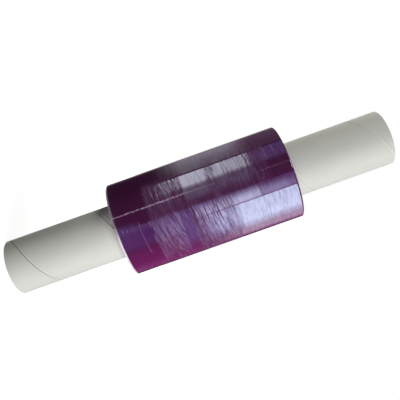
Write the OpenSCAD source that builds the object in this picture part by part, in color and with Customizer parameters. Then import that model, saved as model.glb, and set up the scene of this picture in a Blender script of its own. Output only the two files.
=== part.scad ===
// Hand roll of stretch cling film wound on a long spiral-wound paper core.
// The core runs past the film at both ends, and each bare end is a handgrip.
// The roll stands on its lower core end: +Z is the core's axis and the origin is
// the centre of the lower rim. The front, where the film's free end lies, faces -Y.

/* [Core] */
// Diameter of the core's bore
core_bore = 38; // [25:0.5:76]
// Thickness of the core's paper wall
core_wall = 5; // [2:0.25:10]
// Length of bare core below the film
lower_grip = 99; // [40:1:160]
// Length of bare core above the film
upper_grip = 88.6; // [40:0.2:160]
// Width of the eased edge where the core was cut to length
rim_ease = 0.5; // [0.2:0.1:0.9]

/* [Core seam] */
// Rise of the outer ply's seam in one turn round the core
seam_lead = 77; // [45:1:140]
// Height at which the seam first crosses the front of the core
seam_height = 20.8; // [5:0.2:40]
// Width of the gap between the ply's two edges, across the seam
seam_gap = 0.45; // [0.2:0.05:0.9]
// Thickness of the outer ply, which is the depth of the gap
ply_thickness = 0.3; // [0.1:0.05:0.6]

/* [Film] */
// Width of the film, along the core
film_width = 152.4; // [75:0.2:300]
// Thickness of all the film's turns, from the core to the outside
film_build = 17; // [6:0.5:40]
// Radius of the roll's outer corners
shoulder = 1; // [0.4:0.1:2]
// Step where the film's free end lies on the turn below it
tail_step = 0.08; // [0.04:0.02:0.3]
// Angle of the free end round the roll, from +X
tail_angle = 254.6; // [0:0.2:359.8]

/* [Film turns] */
// Spacing of the turns that show on the roll's ends
turn_pitch = 0.75; // [0.5:0.05:1.5]
// Furthest that a turn lies back from the roll's end
turn_wander = 0.2; // [0.05:0.05:0.4]
// Height of the tight bands that run round the roll
band_height = 0.12; // [0.02:0.02:0.3]
// Spacing of the widest of those bands
band_pitch = 21; // [10:1:40]

/* [Hidden] */
$fn = 96;

core_r = core_bore / 2 + core_wall;
core_length = lower_grip + film_width + upper_grip;
film_r = core_r + film_build;

front = -90;                  // angle of the side that faces -Y
seam_step = 6;                // degrees between two sections of the seam's cutter
seam_proud = 0.5;             // how far the cutter stands out of the core
band_step = 2.5;              // height between two points of the roll's outline
corner_steps = 4;             // chords in each rounded corner of the roll
inner_turns = 0.5;            // the turns reach this far into the core before its hole is cut

paper_grey = [0.83, 0.83, 0.80];
film_purple = [0.30, 0.08, 0.30];

// Outline of the core's wall: radius across, height up, with its four edges eased.
function wall_outline(bore_r, outer_r, length, ease) = [
    [bore_r + ease, 0], [outer_r - ease, 0], [outer_r, ease],
    [outer_r, length - ease], [outer_r - ease, length], [bore_r + ease, length],
    [bore_r, length - ease], [bore_r, ease]
];

// Height of the seam at an angle round the core, on its way up from the lower rim.
function seam_z(angle) = seam_height + seam_lead * (angle - front) / 360;

// One section of the seam's cutter: a slot that stands across the ply's edges.
function seam_section(angle, half_slot) = [
    for (corner = [[-ply_thickness, -1], [seam_proud, -1], [seam_proud, 1], [-ply_thickness, 1]])
        let (r = core_r + corner[0])
            [r * cos(angle), r * sin(angle), seam_z(angle) + corner[1] * half_slot]
];

// Faces of a solid made of four-cornered sections, one after another.
function swept_faces(sections) = concat(
    [[0, 1, 2, 3]],
    [for (s = [0 : sections - 2]) for (c = [0 : 3])
        let (next = (c + 1) % 4)
            [4 * s + c, 4 * s + 4 + c, 4 * s + 4 + next, 4 * s + next]],
    [[for (c = [3 : -1 : 0]) 4 * (sections - 1) + c]]
);

// The gap between the outer ply's edges, as a ribbon that climbs past both rims.
module seam_cutter() {
    half_slot = seam_gap / 2 * sqrt(1 + pow(seam_lead / (2 * PI * core_r), 2));
    degrees_per_mm = 360 / seam_lead;
    first = front - (seam_height + 2 * half_slot) * degrees_per_mm;
    climb = (core_length + 4 * half_slot) * degrees_per_mm;
    sections = ceil(climb / seam_step) + 1;
    angles = [for (s = [0 : sections - 1]) first + climb * s / (sections - 1)];
    polyhedron(
        points = [for (angle = angles) each seam_section(angle, half_slot)],
        faces = swept_faces(sections),
        convexity = 10
    );
}

// A paper tube, wound from spiral plies and cut square at both ends.
module core_tube() {
    color(paper_grey)
        difference() {
            rotate_extrude()
                polygon(wall_outline(core_bore / 2, core_r, core_length, rim_ease));
            seam_cutter();
        }
}

// How far a turn lies back from the roll's end, from 0 to 1. The phase sets the ends apart.
function wander(turn, phase) =
    0.5 + 0.27 * sin(turn * 97 + phase) + 0.23 * sin(turn * 211 + 2 * phase);

// How far the wound film swells at a height up the roll, from -1 to 1.
function swell(z) =
    0.5 * cos(360 * z / band_pitch) + 0.3 * cos(360 * z / (band_pitch * 0.43) + 40)
    + 0.2 * cos(360 * z / (band_pitch * 0.29) + 130);

// The stepped end of the roll from its innermost turn out to its corner.
function end_steps(outer_r, phase) =
    let (
        inner_r = core_r - inner_turns,
        turns = floor((outer_r - shoulder - inner_r) / turn_pitch)
    )
    [for (t = [0 : turns - 1])
        let (
            r0 = outer_r - shoulder - (turns - t) * turn_pitch,
            back = t == turns - 1 ? 0 : turn_wander * wander(t, phase)
        )
            each [[t == 0 ? inner_r : r0, back], [r0 + turn_pitch, back]]];

// A quarter circle from one end of the roll round to its side.
function corner_arc(outer_r) = [
    for (s = [1 : corner_steps])
        let (a = 90 * s / corner_steps)
            [outer_r - shoulder + shoulder * sin(a), shoulder - shoulder * cos(a)]
];

// The banded side between the roll's two corners.
function banded_side(outer_r) =
    let (
        span = film_width - 2 * shoulder,
        steps = ceil(span / band_step)
    )
    [for (s = [1 : steps - 1])
        let (z = shoulder + span * s / steps)
            [outer_r + band_height * swell(z) * sin(180 * s / steps), z]];

// The other end of the roll is the same outline, turned over and run backwards.
function turned_over(points) = [
    for (p = [len(points) - 1 : -1 : 0]) [points[p][0], film_width - points[p][1]]
];

// Outline of half a turn of the whole roll, out to a radius.
function roll_outline(outer_r) = concat(
    end_steps(outer_r, 20),
    corner_arc(outer_r),
    banded_side(outer_r),
    turned_over(corner_arc(outer_r)),
    turned_over(end_steps(outer_r, 75))
);

module half_roll(outer_r) {
    rotate_extrude(angle = 180)
        polygon(roll_outline(outer_r));
}

// All the turns of film. Two half turns about centres half a step apart make one
// turn of a spiral, which ends in the step where the film's free end lies.
module film_roll() {
    color(film_purple)
        translate([0, 0, lower_grip])
            difference() {
                rotate([0, 0, tail_angle]) {
                    half_roll(film_r);
                    translate([tail_step / 2, 0, 0])
                        rotate([0, 0, 180])
                            half_roll(film_r + tail_step / 2);
                }
                translate([0, 0, -1])
                    cylinder(r = core_r, h = film_width + 2);
            }
}

core_tube();
film_roll();
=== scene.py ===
import math

import bpy
from mathutils import Matrix, Vector, noise


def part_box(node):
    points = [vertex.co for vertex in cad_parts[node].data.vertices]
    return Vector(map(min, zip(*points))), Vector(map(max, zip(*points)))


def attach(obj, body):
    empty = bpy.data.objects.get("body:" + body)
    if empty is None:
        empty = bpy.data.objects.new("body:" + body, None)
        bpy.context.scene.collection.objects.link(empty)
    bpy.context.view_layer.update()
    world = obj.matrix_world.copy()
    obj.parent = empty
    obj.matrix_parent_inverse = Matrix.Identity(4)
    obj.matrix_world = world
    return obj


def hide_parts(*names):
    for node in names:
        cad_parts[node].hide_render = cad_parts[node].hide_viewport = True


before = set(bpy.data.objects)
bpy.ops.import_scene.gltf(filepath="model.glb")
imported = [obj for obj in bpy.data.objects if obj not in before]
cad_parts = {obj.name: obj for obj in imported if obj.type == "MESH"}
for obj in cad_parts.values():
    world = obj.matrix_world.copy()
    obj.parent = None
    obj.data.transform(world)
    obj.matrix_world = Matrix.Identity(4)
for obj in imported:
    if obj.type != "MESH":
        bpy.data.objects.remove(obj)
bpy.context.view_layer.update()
mm = 0.001

filmLow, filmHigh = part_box("film_roll")
coreLow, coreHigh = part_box("core_tube")
coreRadius = (coreHigh.x - coreLow.x) / 2
print("frame loaded: film from", round(filmLow.z, 4), "to", round(filmHigh.z, 4),
      "core radius", round(coreRadius, 4))


# Camera

photoView = {
    "focalPixels": 543.7,       # focal length in pixels of a 400 pixel wide picture
    "imagePixels": 400,
    "distance": 0.4771,         # from the lens to the core's axis
    "middleHeight": 0.170,      # height of the point that the camera is aimed by
    "offset": (-0.0009, 0.0023),  # how far right and down of the picture's middle that point lies
    "tip": 19.53,               # degrees by which the core climbs to the right in the picture
    "lean": 0.44,               # degrees by which its upper end leans away
}


def placeCamera(view):
    tip, lean = math.radians(view["tip"]), math.radians(view["lean"])
    right = Vector((math.sin(tip), math.cos(tip) * math.sin(lean), math.cos(tip) * math.cos(lean)))
    down = Vector((math.cos(tip), -math.sin(tip) * math.sin(lean), -math.sin(tip) * math.cos(lean)))
    ahead = Vector((0, math.cos(lean), -math.sin(lean)))
    aim = Vector((0, 0, view["middleHeight"]))
    spot = aim - ahead * view["distance"] - right * view["offset"][0] - down * view["offset"][1]
    camera = bpy.data.objects.new("photoCamera", bpy.data.cameras.new("photoCamera"))
    camera.data.sensor_width = 36
    camera.data.lens = view["focalPixels"] * camera.data.sensor_width / view["imagePixels"]
    camera.data.clip_start = 0.01
    turn = Matrix((right, -down, -ahead)).transposed().to_4x4()
    camera.matrix_world = Matrix.Translation(spot) @ turn
    bpy.context.scene.collection.objects.link(camera)
    bpy.context.scene.camera = camera
    return spot


cameraSpot = placeCamera(photoView)
print("camera stands at", [round(value, 4) for value in cameraSpot])


# Small helpers for meshes and shaders

def smoothStep(low, high, value):
    share = min(max((value - low) / (high - low), 0), 1)
    return share * share * (3 - 2 * share)


def alongTable(table, value):
    for (low, first), (high, second) in zip(table, table[1:]):
        if value <= high:
            return first + (second - first) * (value - low) / (high - low)
    return table[-1][1]


def addObject(name, mesh):
    item = bpy.data.objects.new(name, mesh)
    bpy.context.scene.collection.objects.link(item)
    return item


def newMaterial(name):
    material = bpy.data.materials.new(name)
    material.use_nodes = True
    tree = material.node_tree
    tree.nodes.clear()
    return material, tree


def addNode(tree, kind, values=None, **settings):
    node = tree.nodes.new(kind)
    for key, value in settings.items():
        setattr(node, key, value)
    for key, value in (values or {}).items():
        if isinstance(value, bpy.types.NodeSocket):
            tree.links.new(value, node.inputs[key])
        else:
            node.inputs[key].default_value = value
    return node


def mathNode(tree, operation, first, second=0.0, third=0.0, clamp=False):
    values = {0: first, 1: second, 2: third}
    return addNode(tree, "ShaderNodeMath", values, operation=operation, use_clamp=clamp).outputs[0]


def mixColour(tree, share, first, second):
    return addNode(tree, "ShaderNodeMix", {0: share, 6: first, 7: second}, data_type="RGBA").outputs[2]


def stepNode(tree, value, low, high):
    node = addNode(tree, "ShaderNodeMapRange", {0: value, 1: low, 2: high}, interpolation_type="SMOOTHSTEP")
    return node.outputs[0]


def noiseNode(tree, vector, scale, detail=2.0, roughness=0.5, distortion=0.0):
    node = addNode(tree, "ShaderNodeTexNoise", {
        "Vector": vector, "Scale": scale, "Detail": detail,
        "Roughness": roughness, "Distortion": distortion})
    return node.outputs["Fac"]


def attributeNode(tree, name):
    return addNode(tree, "ShaderNodeAttribute", attribute_name=name).outputs["Fac"]


def scaledVector(tree, vector, factors):
    return addNode(tree, "ShaderNodeVectorMath", {0: vector, 1: factors}, operation="MULTIPLY").outputs[0]


def axisDistance(tree, position):
    flat = scaledVector(tree, position, (1, 1, 0))
    return addNode(tree, "ShaderNodeVectorMath", {0: flat}, operation="LENGTH").outputs["Value"]


def newGroup(name, inputs, outputs):
    group = bpy.data.node_groups.new(name, "ShaderNodeTree")
    for label, kind in inputs:
        group.interface.new_socket(label, in_out="INPUT", socket_type=kind)
    for label in outputs:
        group.interface.new_socket(label, in_out="OUTPUT", socket_type="NodeSocketFloat")
    return group, group.nodes.new("NodeGroupInput").outputs, group.nodes.new("NodeGroupOutput").inputs


def placeGroup(tree, group, values):
    return addNode(tree, "ShaderNodeGroup", values, node_tree=group).outputs


def finishMaterial(tree, shader):
    output = addNode(tree, "ShaderNodeOutputMaterial")
    tree.links.new(shader.outputs[0], output.inputs[0])


# Thin lines that run round the roll, in clumps. Wound Height says which line a point lies on.
def woundLinesGroup():
    tree, given, result = newGroup(
        "woundLines",
        [("Position", "NodeSocketVector"), ("Wound Height", "NodeSocketFloat"),
         ("Spacing", "NodeSocketFloat"), ("Length", "NodeSocketFloat"),
         ("From", "NodeSocketFloat"), ("To", "NodeSocketFloat"), ("Seed", "NodeSocketFloat")],
        ["Lines", "Waves"])
    split = addNode(tree, "ShaderNodeSeparateXYZ", {0: given["Position"]}).outputs
    across = mathNode(tree, "DIVIDE", split["X"], given["Length"])
    depth = mathNode(tree, "DIVIDE", split["Y"], given["Length"])
    line = mathNode(tree, "DIVIDE", given["Wound Height"], given["Spacing"])
    line = mathNode(tree, "ADD", line, given["Seed"])
    spot = addNode(tree, "ShaderNodeCombineXYZ", {0: across, 1: depth, 2: line}).outputs[0]
    waves = noiseNode(tree, spot, 1.0, roughness=0.6)
    clumps = noiseNode(tree, scaledVector(tree, spot, (3.2, 3.2, 0.45)), 1.0, detail=1.0)
    crest = stepNode(tree, waves, given["From"], given["To"])
    share = mathNode(tree, "MULTIPLY_ADD", stepNode(tree, clumps, 0.38, 0.60), 0.5, 0.5)
    tree.links.new(mathNode(tree, "MULTIPLY", crest, share), result["Lines"])
    tree.links.new(waves, result["Waves"])
    return tree


woundLines = woundLinesGroup()


# Film

filmRoll = {
    "build": 17 * mm,              # thickness of all the turns, from the core out
    "turnAngle": 254.6,            # degrees round from +X where the film's free end lies
    "columns": 150,                # columns of the mesh round the roll
    "ringGap": 0.40 * mm,          # spacing of the mesh's rings up the side
    "endRings": 84,                # rings across each end
    "shoulder": 1.0 * mm,          # radius of the roll's corners
    "shoulderRings": 6,
    "tailStep": 0.08 * mm,         # step that the free end makes
    "tailJag": 0.35 * mm,          # how ragged the free end is
    "tailDrift": 3.0 * mm,         # how far the free end strays near the upper edge
    "turnPitch": 0.75 * mm,        # spacing of the turns that show on the ends
    "turnWander": 0.2 * mm,        # how far those turns lie back
    "layerRipple": 0.11 * mm,      # length of the finer ripple in them, over two pi
    "layerDepth": 0.02 * mm,       # depth of that ripple
    "swell": 0.012 * mm,           # height of the wide tight bands
    "wrinkle": 0.022 * mm,         # height of the wrinkles where air is caught
    "frostBefore": (0.25 * mm, 0.90 * mm),  # how far before the free end its frost thins, and is gone
    "frostAfter": (0.20 * mm, 0.60 * mm),   # and how far after it
    "rimHighlightHeight": (1.5 * mm, 2.1 * mm),    # how far up the painted highlight on the lower rim thins, and is gone
    "rimHighlightAround": (-6 * mm, 10 * mm),      # the painted highlight, from faint on the -X side to full on the lit +X side
    "scratchHalf": 0.55,           # half width of a scratch, in mm
}
# Bands of caught air. For each, in mm above the film's lower edge: from, to, soft edge,
# then how hazy and how broken the gloss is on the +X side, and the same on the -X side
airBands = [
    (31.0, 44.0, 2.2, (0.66, 0.20), (0.10, 1.00)),
    (42.0, 53.0, 1.2, (0.80, 0.20), (0.14, 0.90)),
    (52.0, 62.2, 0.8, (0.20, 0.12), (0.09, 0.85)),
    (62.6, 74.0, 0.8, (0.50, 0.88), (0.10, 0.06)),
    (74.0, 84.0, 3.0, (0.36, 0.62), (0.10, 0.10)),
    (84.0, 90.0, 1.5, (0.38, 0.62), (0.18, 0.68)),
    (90.0, 97.2, 1.6, (0.30, 0.58), (0.12, 0.30)),
    (97.2, 118.0, 1.0, (0.05, 0.16), (0.12, 0.40)),
    (118.0, 132.0, 5.0, (0.04, 0.20), (0.15, 0.60)),
    (130.0, 151.0, 3.0, (0.04, 0.22), (0.04, 0.10)),
]
# How steeply the wrinkles climb as they run round: mm above the film's lower edge, slope
lineLean = [(0, 0.06), (30, 0.09), (53, 0.30), (64, 0.09), (95, 0.16), (110, 0.05), (152, 0.03)]
# Single scratches: wound height in mm above the film's lower edge, from and to in mm across, strength
scratches = [
    (19.4, 3, 27, 0.20), (5.4, 0, 5, 0.35), (9.3, 1, 5, 0.4), (12.3, 1, 4, 0.4),
    (14.6, 2, 5, 0.4), (20.2, -2, 4, 0.3), (27.6, 12, 21, 0.3), (28.4, 0, 7, 0.35),
    (57.0, 2, 10, 0.2), (135.0, -26, -14, 0.3), (142.5, -27, -18, 0.25),
]
# Strength of the frosted free end: mm above the film's lower edge, strength
tailFrost = [(0, 0.6), (26, 0.7), (34, 0.9), (54, 0.8), (66, 0.35), (86, 0.15),
             (98, 0), (120, 0), (130, 0.12), (152, 0.12)]
# Curl of the free end: arc back from the edge, and height above the turn below, in mm
tailCurl = [(2.4, 0.0), (1.6, 0.02), (1.0, 0.05), (0.6, 0.08), (0.3, 0.09), (0.12, 0.07), (0.0, 0.02)]
tailAfter = [0.15, 0.5, 1.0]       # arcs past the free end, in mm, where the turn below it gets columns too
# Where the caught air and the painted reflection on the +X edge change round the roll, by how far across a
# point lies
airAcross = {
    "edgeWander": 0.6,                     # how far a band's edge wanders, in mm
    "front": (-3 * mm, 7 * mm),            # from the -X side's look to the +X side's
    "minusEdge": (26 * mm, 31 * mm),       # the bands grow faint towards the -X side's edge
    "plusEdge": (10 * mm, 36 * mm),        # the haze grows thin towards the +X side's edge
    "plusEdgeReflection": (32 * mm, 40 * mm),        # and the edge itself has an even, faint painted reflection
    "plusEdgeReflectionShare": 0.28,
}


def woundHeight(x, z):
    slope = alongTable(lineLean, (z - filmLow.z) / mm)
    return z - slope * (x * (0.9 + 4 * x) if x > 0 else 0.4 * x)


# How hazy the film is at a point of its side, with the painted reflection along its +X edge, and how broken
# its gloss.
def airAt(x, y, z, wound):
    wander = noise.noise(Vector((x / 0.0035, y / 0.0035, z / 0.008)))
    height = (z - filmLow.z) / mm + airAcross["edgeWander"] * wander
    side = smoothStep(*airAcross["front"], x)
    ends = 1 - 0.8 * smoothStep(*airAcross["minusEdge"], -x)
    thin = 1.1 - 0.75 * smoothStep(*airAcross["plusEdge"], x)
    haze = broken = 0
    for low, high, soft, plusSide, minusSide in airBands:
        inside = smoothStep(low - soft, low, height) * (1 - smoothStep(high, high + soft, height))
        haze = max(haze, inside * ends * thin * (minusSide[0] + (plusSide[0] - minusSide[0]) * side))
        broken = max(broken, inside * ends * (minusSide[1] + (plusSide[1] - minusSide[1]) * side))
    patch = 1 + 0.3 * noise.noise(Vector((x / 0.016 + 3, y / 0.016, wound / 0.006)))
    # Painted reflection: an even pale band along the +X edge, where the film is seen at a flat angle
    haze = max(haze * patch, airAcross["plusEdgeReflectionShare"] * smoothStep(*airAcross["plusEdgeReflection"], x))
    return min(haze, 1), min(broken * patch, 1)


def scratchAt(x, y, wound):
    if y > 0:
        return 0.0
    height, across, total = (wound - filmLow.z) / mm, x / mm, 0.0
    for line, start, end, strength in scratches:
        near = max(0, 1 - abs(height - line) / filmRoll["scratchHalf"])
        along = smoothStep(start, start + 2, across) * (1 - smoothStep(end - 3, end, across))
        total += strength * near * along
    return total


def swellAt(z):
    height = z - filmLow.z
    return (0.6 * math.cos(2 * math.pi * height / (21 * mm))
            + 0.25 * math.cos(2 * math.pi * height / (9 * mm) + 0.7)
            + 0.15 * math.cos(2 * math.pi * height / (6.1 * mm) + 2.3))


def sideRelief(x, y, z, wound, caught):
    edge = smoothStep(0, 5 * mm, min(z - filmLow.z, filmHigh.z - z))
    lines = noise.noise(Vector((x / 0.020 + 5, y / 0.020, wound / 0.0024)))
    lines += 0.5 * noise.noise(Vector((x / 0.012 + 9, y / 0.012, wound / 0.0013)))
    calm = 0.3 * noise.noise(Vector((x / 0.030, y / 0.030, wound / 0.006)))
    return edge * (filmRoll["swell"] * swellAt(z) + filmRoll["wrinkle"] * (caught * lines + 0.25 * calm))


def turnDepth(turn, phase):
    first = math.sin(math.radians(turn * 97 + phase))
    second = math.sin(math.radians(turn * 211 + 2 * phase))
    return filmRoll["turnWander"] * (0.5 + 0.27 * first + 0.23 * second)


def endDepth(radius, outer, phase):
    turn = math.floor((outer - filmRoll["shoulder"] - radius) / filmRoll["turnPitch"] + 0.001)
    fine = filmRoll["layerDepth"] * math.sin(radius / filmRoll["layerRipple"])
    return max(fine, 0) if turn < 1 else turnDepth(turn, phase) + fine


# Outline of half the roll's cut: across the lower end, up the side and back across the upper end.
def filmOutline(outer):
    ease = filmRoll["shoulder"]
    faces = []
    for phase in (20, 75):
        face = []
        for ring in range(filmRoll["endRings"]):
            radius = coreRadius + (outer - ease - coreRadius) * ring / (filmRoll["endRings"] - 1)
            face.append((radius, endDepth(radius, outer, phase), "end"))
        for ring in range(1, filmRoll["shoulderRings"]):
            angle = math.pi / 2 * ring / filmRoll["shoulderRings"]
            face.append((outer - ease + ease * math.sin(angle), ease - ease * math.cos(angle), "shoulder"))
        faces.append(face)
    span = filmHigh.z - filmLow.z - 2 * ease
    steps = round(span / filmRoll["ringGap"])
    points = [(radius, filmLow.z + depth, kind) for radius, depth, kind in faces[0]]
    points += [(outer, filmLow.z + ease + span * step / steps, "side") for step in range(steps + 1)]
    points += [(radius, filmHigh.z - depth, kind) for radius, depth, kind in reversed(faces[1])]
    return points


# Angles round the roll from its free end, with the height of the curl there.
def filmColumns(outer):
    arcs = [(arc * mm / outer, lift * mm) for arc, lift in tailCurl]
    last = 2 * math.pi - arcs[0][0] - 0.01
    even = [2 * math.pi * step / filmRoll["columns"] for step in range(filmRoll["columns"])]
    after = [arc * mm / outer for arc in tailAfter]
    plain = sorted(after + [angle for angle in even if angle < last])
    return [(angle, 0.0) for angle in plain] + [(2 * math.pi - arc, lift) for arc, lift in arcs]


def frostAt(sweep, fromTail, z):
    reach = filmRoll["frostBefore"] if sweep > math.pi else filmRoll["frostAfter"]
    near = 1 - smoothStep(*reach, fromTail)
    speckle = 0.75 + 0.9 * noise.noise(Vector((8.3, 1.1, z / (1.6 * mm))))
    return min(max(near * speckle, 0), 1) * alongTable(tailFrost, (z - filmLow.z) / mm)


# Painted highlight: the lower rim is painted pale where it catches the light, most of all on the +X side.
def paintedRimHighlight(x, y, z):
    around = 0.15 + 0.85 * smoothStep(*filmRoll["rimHighlightAround"], x)
    speckle = 0.95 + 0.4 * noise.noise(Vector((x / (3 * mm), y / (3 * mm), 2.6)))
    return min(around * speckle, 1) * (1 - smoothStep(*filmRoll["rimHighlightHeight"], z - filmLow.z))


def filmPoint(sweep, lift, radius, z, kind, outer):
    fromTail = min(sweep, 2 * math.pi - sweep) * outer
    near = 1 - smoothStep(0, 6 * mm, fromTail)
    jag = filmRoll["tailJag"] * (noise.noise(Vector((1.7, 4.2, z / (3 * mm))))
                                 + 0.5 * noise.noise(Vector((6.1, 2.2, z / mm))))
    drift = filmRoll["tailDrift"] * smoothStep(94 * mm, 126 * mm, z - filmLow.z)
    reach = smoothStep(coreRadius, outer, radius)
    slide = drift * (1 - smoothStep(0, 20 * mm, fromTail)) * reach
    angle = math.radians(filmRoll["turnAngle"]) + sweep + (jag * near + slide) / outer
    x, y = radius * math.cos(angle), radius * math.sin(angle)
    wound = woundHeight(x, z)
    sealed = 1 - 0.9 * smoothStep(64 * mm, 88 * mm, z - filmLow.z)   # the free end lies flat further up
    grow = filmRoll["tailStep"] * sealed * smoothStep(math.pi, 2 * math.pi, sweep) * reach
    haze = broken = 0.0
    if kind == "side":
        haze, broken = airAt(x, y, z, wound)
        grow += sideRelief(x, y, z, wound, broken)
    if kind != "end":
        grow += lift * sealed
    spot = (x + grow * math.cos(angle), y + grow * math.sin(angle), z)
    frost = max(frostAt(sweep, fromTail, z), scratchAt(x, y, wound))
    return spot, haze, broken, frost, paintedRimHighlight(x, y, z), wound


def buildFilm():
    outer = coreRadius + filmRoll["build"]
    outline, columns = filmOutline(outer), filmColumns(outer)
    verts, haze, broken, frost, rimHighlights, wound = [], [], [], [], [], []
    for sweep, lift in columns:
        for radius, z, kind in outline:
            point = filmPoint(sweep, lift, radius, z, kind, outer)
            for store, value in zip((verts, haze, broken, frost, rimHighlights, wound), point):
                store.append(value)
    rows, faces = len(outline), []
    for column in range(len(columns)):
        after = (column + 1) % len(columns)
        for row in range(rows):
            up = (row + 1) % rows
            faces.append((column * rows + row, after * rows + row, after * rows + up, column * rows + up))
    mesh = bpy.data.meshes.new("filmRoll")
    mesh.from_pydata(verts, [], faces)
    stored = {"airHazeAndEdgeReflection": haze, "brokenGloss": broken, "frost": frost,
              "rimHighlight": rimHighlights, "woundHeight": wound}
    for name, values in stored.items():
        mesh.attributes.new(name, "FLOAT", "POINT").data.foreach_set("value", values)
    kinds = [kind for radius, z, kind in outline]
    endRows = {row for row in range(rows) if kinds[row] == "end" and kinds[(row + 1) % rows] == "end"}
    lastColumn = (len(columns) - 1) * rows                 # the step at the free end stays sharp
    mesh.polygons.foreach_set("use_smooth", [index < lastColumn for index in range(len(faces))])
    sharp = [max(edge.vertices) < rows or min(edge.vertices) >= lastColumn for edge in mesh.edges]
    mesh.attributes.new("sharp_edge", "BOOLEAN", "EDGE").data.foreach_set("value", sharp)
    slots = [1 if index % rows in endRows else 0 for index in range(len(faces))]
    mesh.polygons.foreach_set("material_index", slots)
    mesh.update()
    return addObject("filmRoll", mesh)


filmLook = {
    "body": (0.075, 0.0105, 0.062, 1),    # film seen deep into the roll
    "air": (0.42, 0.305, 0.54, 1),        # where caught air makes it silvery, and the painted reflection along the +X edge
    "airShare": 0.78,                     # how silvery it can get
    "tail": (0.62, 0.42, 0.58, 1),        # frosted free end and scratches
    "rim": (0.96, 0.88, 1.00, 1),         # painted highlight on the lower rim
    "broadLines": {"Spacing": 1.1 * mm, "Length": 22 * mm, "From": 0.46, "To": 0.60, "Seed": 1.3},
    "fineLines": {"Spacing": 0.7 * mm, "Length": 12 * mm, "From": 0.46, "To": 0.60, "Seed": 7.1},
    "fineShare": 0.8,                     # strength of the fine lines beside the broad ones
    "veil": 0.15,                         # haze between the lines, where 1 is the haze on them
    "lineGloss": 0.65,                    # gloss that the lines keep where air breaks it
    "streakSpan": (0.38, 0.58),           # faint streaks in the gloss of clear film
    "streakGloss": 0.24,
    "leastGloss": 0.74,
    "roughness": 0.09,
    "airRoughness": 0.35,                 # added where air breaks the gloss
    "bodyIOR": 1.19,
    "coatIOR": 1.75,
    "coatRoughness": 0.04,
    "creaseLength": 50 * mm,
    "creaseSpacing": 1.1 * mm,
    "creaseDepth": 0.010 * mm,
    "grainScale": 600.0,
    "grainDepth": 0.0030 * mm,
    "endDark": (0.060, 0.010, 0.050, 1),
    "endPale": (0.30, 0.12, 0.30, 1),
    "turnLines": {"Spacing": 1.1 * mm, "Length": 60 * mm, "From": 0.50, "To": 0.70, "Seed": 2.0},
    "layerLines": {"Spacing": 0.3 * mm, "Length": 30 * mm, "From": 0.45, "To": 0.70, "Seed": 5.0},
    "turnTone": 0.45,                     # how pale the groups of turns are, and the layers in them
    "layerTone": 0.35,
    "layerDepth": 0.03 * mm,
    "endRoughness": (0.3, 0.25),          # what the layers add, and the least
    "endIOR": 1.5,
}


def filmSideMaterial():
    material, tree = newMaterial("purpleFilm")
    position = addNode(tree, "ShaderNodeTexCoord").outputs["Object"]
    air, gaps = attributeNode(tree, "airHazeAndEdgeReflection"), attributeNode(tree, "brokenGloss")
    wound = attributeNode(tree, "woundHeight")
    given = {"Position": position, "Wound Height": wound}
    broad = placeGroup(tree, woundLines, {**given, **filmLook["broadLines"]})
    fine = placeGroup(tree, woundLines, {**given, **filmLook["fineLines"]})
    lines = mathNode(tree, "MAXIMUM", broad["Lines"],
                     mathNode(tree, "MULTIPLY", fine["Lines"], filmLook["fineShare"]))
    veil = mathNode(tree, "MULTIPLY_ADD", lines, 1 - filmLook["veil"], filmLook["veil"])
    haze = mathNode(tree, "MULTIPLY", mathNode(tree, "MULTIPLY", air, veil), filmLook["airShare"])
    colour = mixColour(tree, haze, filmLook["body"], filmLook["air"])
    colour = mixColour(tree, attributeNode(tree, "frost"), colour, filmLook["tail"])
    # Painted highlight along the lower rim
    colour = mixColour(tree, attributeNode(tree, "rimHighlight"), colour, filmLook["rim"])
    # Creases where air is caught, and the film's own grain
    split = addNode(tree, "ShaderNodeSeparateXYZ", {0: position}).outputs
    run = addNode(tree, "ShaderNodeCombineXYZ", {
        0: mathNode(tree, "DIVIDE", split["X"], filmLook["creaseLength"]),
        1: mathNode(tree, "DIVIDE", split["Y"], filmLook["creaseLength"]),
        2: mathNode(tree, "DIVIDE", wound, filmLook["creaseSpacing"])}).outputs[0]
    creases = addNode(tree, "ShaderNodeBump", {
        "Strength": 1.0, "Distance": filmLook["creaseDepth"],
        "Height": mathNode(tree, "MULTIPLY", noiseNode(tree, run, 1.0, roughness=0.6), gaps)})
    sparkle = addNode(tree, "ShaderNodeBump", {
        "Strength": 1.0, "Distance": filmLook["grainDepth"],
        "Height": noiseNode(tree, position, filmLook["grainScale"]), "Normal": creases.outputs[0]})
    # Clear film is glossy with faint streaks. Caught air breaks the gloss, and the lines keep some of it
    streaks = stepNode(tree, fine["Waves"], *filmLook["streakSpan"])
    whole = mathNode(tree, "MULTIPLY_ADD", streaks, filmLook["streakGloss"], filmLook["leastGloss"])
    between = mathNode(tree, "MULTIPLY_ADD", lines, -filmLook["lineGloss"], 1.0)
    gloss = mathNode(tree, "SUBTRACT", whole, mathNode(tree, "MULTIPLY", gaps, between), clamp=True)
    shader = addNode(tree, "ShaderNodeBsdfPrincipled", {
        "Base Color": colour,
        "Roughness": mathNode(tree, "MULTIPLY_ADD", gaps, filmLook["airRoughness"], filmLook["roughness"]),
        "IOR": filmLook["bodyIOR"], "Coat Weight": gloss, "Coat Roughness": filmLook["coatRoughness"],
        "Coat IOR": filmLook["coatIOR"], "Normal": sparkle.outputs[0]})
    tree.links.new(sparkle.outputs[0], shader.inputs["Coat Normal"])
    finishMaterial(tree, shader)
    return material


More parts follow.
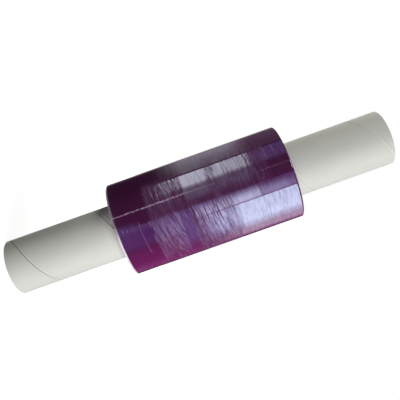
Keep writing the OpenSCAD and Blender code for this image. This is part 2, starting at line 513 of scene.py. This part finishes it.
def filmEndMaterial():
    material, tree = newMaterial("purpleFilmEnds")
    position = addNode(tree, "ShaderNodeTexCoord").outputs["Object"]
    given = {"Position": position, "Wound Height": axisDistance(tree, position)}
    turns = placeGroup(tree, woundLines, {**given, **filmLook["turnLines"]})
    layers = placeGroup(tree, woundLines, {**given, **filmLook["layerLines"]})
    tone = mathNode(tree, "MULTIPLY_ADD", turns["Lines"], filmLook["turnTone"],
                    mathNode(tree, "MULTIPLY", layers["Waves"], filmLook["layerTone"]))
    bump = addNode(tree, "ShaderNodeBump", {
        "Strength": 1.0, "Distance": filmLook["layerDepth"], "Height": layers["Waves"]})
    shader = addNode(tree, "ShaderNodeBsdfPrincipled", {
        "Base Color": mixColour(tree, tone, filmLook["endDark"], filmLook["endPale"]),
        "Roughness": mathNode(tree, "MULTIPLY_ADD", layers["Waves"], *filmLook["endRoughness"]),
        "IOR": filmLook["endIOR"], "Normal": bump.outputs[0]})
    finishMaterial(tree, shader)
    return material


film = buildFilm()
film.data.materials.append(filmSideMaterial())
film.data.materials.append(filmEndMaterial())
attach(film, "root")
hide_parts("film_roll")
print("film wound:", len(film.data.polygons), "faces")


# Core

corePaper = {
    "pale": (0.775, 0.775, 0.745, 1),
    "dark": (0.70, 0.695, 0.66, 1),
    "seam": (0.20, 0.19, 0.17, 1),         # shadowed gap between the outer ply's edges
    "lipHighlight": (0.84, 0.84, 0.82, 1),          # painted highlight on the ply's raised edge beside it
    "crease": (0.40, 0.39, 0.35, 1),
    "rimPale": (0.66, 0.63, 0.57, 1),
    "rimDark": (0.36, 0.33, 0.28, 1),      # glue between the plies
    "boreTint": (0.60, 0.57, 0.50, 1),
    "seamLead": 77.0 * mm,                 # rise of the seam in one turn
    "seamHeight": 20.8 * mm,               # where it first crosses the front
    "seamHalf": 0.22 * mm,
    "seamSoft": 0.20 * mm,
    "seamRagged": 0.5 * mm,                # how far its edges wander
    "seamFade": (0.30, 0.10),              # heights at which its shadow has gone, and is full
    "lipGap": 1.0 * mm,                    # height of the lip above the seam
    "lipHalf": 0.35 * mm,
    "lipSoft": 0.50 * mm,
    "lipHighlightShare": 0.5,
    "creaseGap": 3.4 * mm,                 # height of the crease above the seam
    "creaseHalf": 0.12 * mm,
    "creaseSoft": 0.25 * mm,
    "creaseShare": 0.5,
    "plies": 13,
    "wall": 5.0 * mm,
    "glueShare": 0.7,
    "fibreSize": 0.6 * mm,
    "fibreDepth": 0.02 * mm,
    "roughness": 0.88,
    "specular": 0.35,
}


# Fibres and clouds of pulp in paper.
def paperFibreGroup():
    tree, given, result = newGroup(
        "paperFibre", [("Position", "NodeSocketVector"), ("Fibre Size", "NodeSocketFloat")],
        ["Tone", "Height"])
    scaled = addNode(tree, "ShaderNodeVectorMath", {0: given["Position"]}, operation="SCALE")
    tree.links.new(mathNode(tree, "DIVIDE", 1.0, given["Fibre Size"]), scaled.inputs["Scale"])
    point = scaled.outputs[0]
    clouds = noiseNode(tree, point, 0.05, detail=3.0)
    fibres = noiseNode(tree, scaledVector(tree, point, (1.0, 1.0, 0.28)), 1.0, 4.0, 0.7, 0.6)
    flecks = stepNode(tree, noiseNode(tree, point, 0.6), 0.64, 0.72)
    tone = mathNode(tree, "MULTIPLY_ADD", clouds, 0.55, mathNode(tree, "MULTIPLY", fibres, 0.45))
    tone = mathNode(tree, "SUBTRACT", tone, mathNode(tree, "MULTIPLY", flecks, 0.25), clamp=True)
    tree.links.new(tone, result["Tone"])
    tree.links.new(fibres, result["Height"])
    return tree


# Distance from a spiral line that climbs the core, measured up the core.
def spiralLineGroup():
    tree, given, result = newGroup(
        "spiralLine",
        [("Position", "NodeSocketVector"), ("Lead", "NodeSocketFloat"), ("Start Height", "NodeSocketFloat")],
        ["Distance"])
    split = addNode(tree, "ShaderNodeSeparateXYZ", {0: given["Position"]}).outputs
    angle = mathNode(tree, "ARCTAN2", split["Y"], split["X"])
    turn = mathNode(tree, "MULTIPLY_ADD", angle, 1 / (2 * math.pi), 0.25)
    climb = mathNode(tree, "MULTIPLY_ADD", turn, given["Lead"], given["Start Height"])
    above = mathNode(tree, "SUBTRACT", split["Z"], climb)
    half = mathNode(tree, "MULTIPLY", given["Lead"], 0.5)
    shifted = mathNode(tree, "FLOORED_MODULO", mathNode(tree, "ADD", above, half), given["Lead"])
    tree.links.new(mathNode(tree, "SUBTRACT", shifted, half), result["Distance"])
    return tree


def lineMask(tree, distance, half, soft):
    away = mathNode(tree, "ABSOLUTE", distance)
    return mathNode(tree, "SUBTRACT", 1.0, stepNode(tree, away, half, half + soft))


def corePaperMaterial():
    material, tree = newMaterial("corePaper")
    position = addNode(tree, "ShaderNodeTexCoord").outputs["Object"]
    fibre = placeGroup(tree, paperFibreGroup(), {"Position": position, "Fibre Size": corePaper["fibreSize"]})
    colour = mixColour(tree, fibre["Tone"], corePaper["dark"], corePaper["pale"])
    # The outer ply's seam, a painted highlight on its raised lip and a faint crease follow one spiral
    spiral = placeGroup(tree, spiralLineGroup(), {
        "Position": position, "Lead": corePaper["seamLead"],
        "Start Height": corePaper["seamHeight"]})["Distance"]
    wobble = noiseNode(tree, position, 260.0, detail=3.0)
    ragged = mathNode(tree, "MULTIPLY_ADD", wobble, corePaper["seamRagged"], -corePaper["seamRagged"] / 2)
    distance = mathNode(tree, "ADD", spiral, ragged)
    height = addNode(tree, "ShaderNodeSeparateXYZ", {0: position}).outputs["Z"]
    gap = lineMask(tree, distance, corePaper["seamHalf"], corePaper["seamSoft"])
    gap = mathNode(tree, "MULTIPLY", gap, stepNode(tree, height, *corePaper["seamFade"]))
    # Painted highlight along the ply's raised lip above the seam
    fromLipHighlight = mathNode(tree, "ADD", distance, -corePaper["lipGap"])
    lipHighlight = lineMask(tree, fromLipHighlight, corePaper["lipHalf"], corePaper["lipSoft"])
    lipHighlight = mathNode(tree, "MULTIPLY", lipHighlight, corePaper["lipHighlightShare"])
    fromCrease = mathNode(tree, "ADD", distance, -corePaper["creaseGap"])
    crease = lineMask(tree, fromCrease, corePaper["creaseHalf"], corePaper["creaseSoft"])
    faint = stepNode(tree, noiseNode(tree, position, 38.0), 0.45, 0.6)
    faint = mathNode(tree, "MULTIPLY", faint, corePaper["creaseShare"])
    colour = mixColour(tree, lipHighlight, colour, corePaper["lipHighlight"])
    colour = mixColour(tree, mathNode(tree, "MULTIPLY", crease, faint), colour, corePaper["crease"])
    colour = mixColour(tree, gap, colour, corePaper["seam"])
    # Cut rims, where the plies show as rings, and the darker paper inside the bore
    radius = axisDistance(tree, position)
    boreRadius = coreRadius - corePaper["wall"]
    bore = stepNode(tree, radius, boreRadius + 0.35 * mm, boreRadius + 0.1 * mm)
    normal = addNode(tree, "ShaderNodeNewGeometry").outputs["Normal"]
    upright = addNode(tree, "ShaderNodeSeparateXYZ", {0: normal}).outputs["Z"]
    rim = stepNode(tree, mathNode(tree, "ABSOLUTE", upright), 0.55, 0.85)
    wavy = mathNode(tree, "ADD", radius, mathNode(tree, "MULTIPLY", ragged, 0.3))
    ply = mathNode(tree, "MULTIPLY", wavy, corePaper["plies"] / corePaper["wall"])
    middle = mathNode(tree, "SUBTRACT", mathNode(tree, "FRACT", ply), 0.5)
    glue = stepNode(tree, mathNode(tree, "ABSOLUTE", middle), 0.30, 0.48)
    glueShare = mathNode(tree, "MULTIPLY", glue, corePaper["glueShare"])
    fibreShare = mathNode(tree, "MULTIPLY", fibre["Height"], 0.4)
    rimColour = mixColour(tree, glueShare, corePaper["rimPale"], corePaper["rimDark"])
    rimColour = mixColour(tree, fibreShare, rimColour, corePaper["rimDark"])
    boreColour = mixColour(tree, fibre["Tone"], corePaper["rimDark"], corePaper["boreTint"])
    colour = mixColour(tree, bore, colour, boreColour)
    colour = mixColour(tree, rim, colour, rimColour)
    relief = mathNode(tree, "SUBTRACT", fibre["Height"], mathNode(tree, "MULTIPLY", glue, rim))
    bump = addNode(tree, "ShaderNodeBump", {
        "Strength": 0.6, "Distance": corePaper["fibreDepth"], "Height": relief})
    shader = addNode(tree, "ShaderNodeBsdfPrincipled", {
        "Base Color": colour, "Roughness": corePaper["roughness"],
        "Specular IOR Level": corePaper["specular"], "Normal": bump.outputs[0]})
    finishMaterial(tree, shader)
    return material


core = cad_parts["core_tube"]
paper = corePaperMaterial()
for slot in core.material_slots:
    slot.material = paper
print("core papered")


# Studio

studio = {
    "ambient": 0.03,                 # strength of the soft light from all round
    "floorShade": (0.55, 0.55, 0.55, 1),
    "floorBounce": (0.22, 0.22, 0.22, 1),  # what the floor throws back up at the roll
    "floorHalf": 6.0,
    "nearWhite": 0.80,               # plain white in the floor beside the roll, so that its shadow shows
    "nearReach": (0.03, 0.30),       # how far out from the roll the floor turns to plain white
    "panelColumn": 1.5,              # degrees between a panel's columns
    "panelRows": 60,
}
# Lamps: name, degrees round from the camera towards +X, distance, height, size, aim, spread, power, colour
lamps = [
    ("keyLight", 40, 1.10, 0.28, (0.6, 0.6), 0.15, 180, 10.1, (1.0, 1.0, 0.97)),
    ("sideLight", 90, 1.10, 0.10, (0.6, 0.2), 0.05, 180, 2.6, (0.97, 1.0, 1.0)),
    ("highLight", -95, 0.60, 0.62, (0.3, 0.3), 0.30, 60, 0.40, (1.0, 1.0, 0.92)),
    ("frontLight", 22, 1.10, 0.02, (0.3, 0.2), 0.01, 28, 0.033, (1.0, 1.0, 1.0)),
    ("backLight", 170, 1.10, 0.35, (0.8, 0.6), 0.17, 180, 4.0, (1.0, 1.0, 1.0)),
]
# Curved panels round the roll that only gloss sees. Degrees run from the camera towards +X,
# heights and distances are in metres, and the fades say how far each edge softens
panels = {
    "darkAllRound": {"span": (-179, 179), "fade": (0, 0), "height": (0.0, 1.2), "rise": (0, 0),
                     "distance": 0.60, "colour": (0.03, 0.02, 0.03)},
    "skyLeft": {"span": (-179, -81), "fade": (78, 3), "height": (0.10, 0.285), "rise": (0.070, 0.045),
                "distance": 0.55, "colour": (0.94, 0.90, 1.06)},
    "skyHigh": {"span": (-179, -81), "fade": (78, 3), "height": (0.22, 0.45), "rise": (0.05, 0.05),
                "distance": 0.56, "colour": (0.27, 0.19, 0.30)},
    "backLeft": {"span": (-179, -138), "fade": (1, 26), "height": (0.0, 0.45), "rise": (0.0, 0.05),
                 "distance": 0.54, "colour": (0.42, 0.38, 0.38)},
    "windowLeft": {"span": (-78.5, -38), "fade": (1.5, 12), "height": (0.080, 0.2655),
                   "rise": (0.050, 0.003), "distance": 0.50, "colour": (4.5, 4.7, 5.7)},
    "endLeft": {"span": (-80, -36), "fade": (3, 14), "height": (0.268, 0.42), "rise": (0.004, 0.02),
                "distance": 0.52, "colour": (0.42, 0.33, 1.00)},
    "underLeft": {"span": (-46, -2), "fade": (6, 26), "height": (0.084, 0.268), "rise": (0.003, 0.003),
                  "distance": 0.52, "colour": (0.70, 0.76, 1.05)},
    "violetFront": {"span": (2.5, 64), "fade": (1.5, 34), "height": (0.0, 0.45), "rise": (0, 0),
                    "distance": 0.58, "colour": (0.50, 0.36, 1.15)},
    "violetDeep": {"span": (4, 66), "fade": (18, 34), "height": (0.0, 0.45), "rise": (0, 0),
                   "distance": 0.57, "colour": (0.26, 0.15, 0.84)},
    "violetMiddle": {"span": (2.5, 110), "fade": (2, 42), "height": (0.10, 0.24), "rise": (0.03, 0.06),
                     "distance": 0.56, "colour": (0.48, 0.42, 1.50)},
    "violetEnd": {"span": (-12, 60), "fade": (15, 40), "height": (0.0, 0.062), "rise": (0, 0.05),
                  "distance": 0.57, "colour": (0.50, 0.40, 1.2)},
    "magentaRight": {"span": (40, 165), "fade": (36, 50), "height": (0.0, 0.45), "rise": (0, 0),
                     "distance": 0.59, "colour": (0.68, 0.06, 0.41)},
    "paleFront": {"span": (1, 33.2), "fade": (25, 2.4), "height": (0.150, 0.2695), "rise": (0.02, 0.003),
                  "distance": 0.50, "colour": (5.5, 5.9, 8.4)},
    "paleHigh": {"span": (4, 33.2), "fade": (22, 2.4), "height": (0.2695, 0.37), "rise": (0.002, 0.09),
                 "distance": 0.50, "colour": (3.2, 3.2, 5.5)},
    "windowRight": {"span": (33.3, 114), "fade": (1.3, 38), "height": (0.222, 0.345),
                    "rise": (0.003, 0.004), "distance": 0.50, "colour": (7.6, 8.9, 12.0)},
    "windowBroken": {"span": (33.0, 114), "fade": (1.3, 50), "height": (0.152, 0.225),
                     "rise": (0.034, 0.003), "distance": 0.51, "colour": (5.6, 6.6, 9.6)},
    "pinkRight": {"span": (90, 150), "fade": (14, 45), "height": (0.14, 0.40), "rise": (0.11, 0.02),
                  "distance": 0.54, "colour": (2.5, 2.1, 2.8)},
    "topGlint": {"span": (-24, -3), "fade": (5, 5), "height": (0.42, 0.60), "rise": (0.04, 0.04),
                 "distance": 0.50, "colour": (20.0, 18.0, 22.0)},
}


def roundSpot(degrees, distance, height):
    angle = math.radians(degrees)
    return Vector((distance * math.sin(angle), -distance * math.cos(angle), height))


def addLamp(name, degrees, distance, height, size, aimHeight, spread, power, colour):
    data = bpy.data.lights.new(name, "AREA")
    data.shape = "RECTANGLE"
    data.size, data.size_y = size
    data.spread = math.radians(spread)
    data.energy = power
    data.color = colour
    lamp = addObject(name, data)
    lamp.location = roundSpot(degrees, distance, height)
    aim = Vector((0, 0, aimHeight))
    lamp.rotation_euler = (aim - lamp.location).to_track_quat("-Z", "Y").to_euler()
    lamp.visible_camera = False
    lamp.visible_glossy = False


def fadeShare(ends, softness, value):
    share = 1.0
    if softness[0] > 0:
        share *= smoothStep(ends[0], ends[0] + softness[0], value)
    if softness[1] > 0:
        share *= 1 - smoothStep(ends[1] - softness[1], ends[1], value)
    return share


def panelMesh(name, panel):
    (start, end), (low, high) = panel["span"], panel["height"]
    across, upward = max(12, round((end - start) / studio["panelColumn"])), studio["panelRows"]
    verts, glow = [], []
    for step in range(across + 1):
        degrees = start + (end - start) * step / across
        for climb in range(upward + 1):
            height = low + (high - low) * climb / upward
            verts.append(roundSpot(degrees, panel["distance"], height))
            around = fadeShare(panel["span"], panel["fade"], degrees)
            glow.append(around * fadeShare(panel["height"], panel["rise"], height))
    rows, faces = upward + 1, []
    for step in range(across):
        for climb in range(upward):
            corner = step * rows + climb
            faces.append((corner, corner + rows, corner + rows + 1, corner + 1))
    mesh = bpy.data.meshes.new(name)
    mesh.from_pydata(verts, [], faces)
    mesh.attributes.new("glow", "FLOAT", "POINT").data.foreach_set("value", glow)
    return mesh


def addPanel(name, panel):
    mesh = panelMesh(name, panel)
    material, tree = newMaterial(name)
    light = addNode(tree, "ShaderNodeEmission", {"Color": (*panel["colour"], 1), "Strength": 1.0})
    clear = addNode(tree, "ShaderNodeBsdfTransparent")
    mix = addNode(tree, "ShaderNodeMixShader", {
        0: attributeNode(tree, "glow"), 1: clear.outputs[0], 2: light.outputs[0]})
    finishMaterial(tree, mix)
    material.cycles.emission_sampling = "NONE"
    mesh.materials.append(material)
    item = addObject(name, mesh)
    item.visible_camera = False
    item.visible_diffuse = False
    item.visible_transmission = False
    item.visible_shadow = False


# The rays that see plain white all round: the camera's, and those of gloss and glass.
def whiteRays(tree):
    path = addNode(tree, "ShaderNodeLightPath").outputs
    seen = mathNode(tree, "ADD", path["Is Camera Ray"], path["Is Glossy Ray"], clamp=True)
    return mathNode(tree, "ADD", seen, path["Is Transmission Ray"], clamp=True)


def buildFloor():
    half = studio["floorHalf"]
    corners = [(-half, -half, 0), (half, -half, 0), (half, half, 0), (-half, half, 0)]
    mesh = bpy.data.meshes.new("studioFloor")
    mesh.from_pydata(corners, [], [(0, 1, 2, 3)])
    material, tree = newMaterial("studioFloor")
    position = addNode(tree, "ShaderNodeNewGeometry").outputs["Position"]
    away = addNode(tree, "ShaderNodeVectorMath", {0: position}, operation="LENGTH").outputs["Value"]
    white = mathNode(tree, "MULTIPLY_ADD", stepNode(tree, away, *studio["nearReach"]),
                     1 - studio["nearWhite"], studio["nearWhite"])
    isBounce = addNode(tree, "ShaderNodeLightPath").outputs["Is Diffuse Ray"]
    shade = addNode(tree, "ShaderNodeBsdfDiffuse", {
        "Color": mixColour(tree, isBounce, studio["floorShade"], studio["floorBounce"])})
    plain = addNode(tree, "ShaderNodeEmission", {
        "Strength": mathNode(tree, "MULTIPLY", whiteRays(tree), white)})
    finishMaterial(tree, addNode(tree, "ShaderNodeAddShader", {0: shade.outputs[0], 1: plain.outputs[0]}))
    mesh.materials.append(material)
    addObject("studioFloor", mesh)


def buildWorld():
    world = bpy.data.worlds.new("studioWorld")
    world.use_nodes = True
    tree = world.node_tree
    tree.nodes.clear()
    level = mathNode(tree, "MULTIPLY_ADD", whiteRays(tree), 1 - studio["ambient"], studio["ambient"])
    background = addNode(tree, "ShaderNodeBackground", {"Color": (1, 1, 1, 1), "Strength": level})
    output = addNode(tree, "ShaderNodeOutputWorld")
    tree.links.new(background.outputs[0], output.inputs[0])
    bpy.context.scene.world = world


bpy.context.scene.view_settings.view_transform = "Standard"
buildWorld()
buildFloor()
for lamp in lamps:
    addLamp(*lamp)
for name, panel in panels.items():
    addPanel(name, panel)
print("studio lit by", len(lamps), "lamps and", len(panels), "panels")
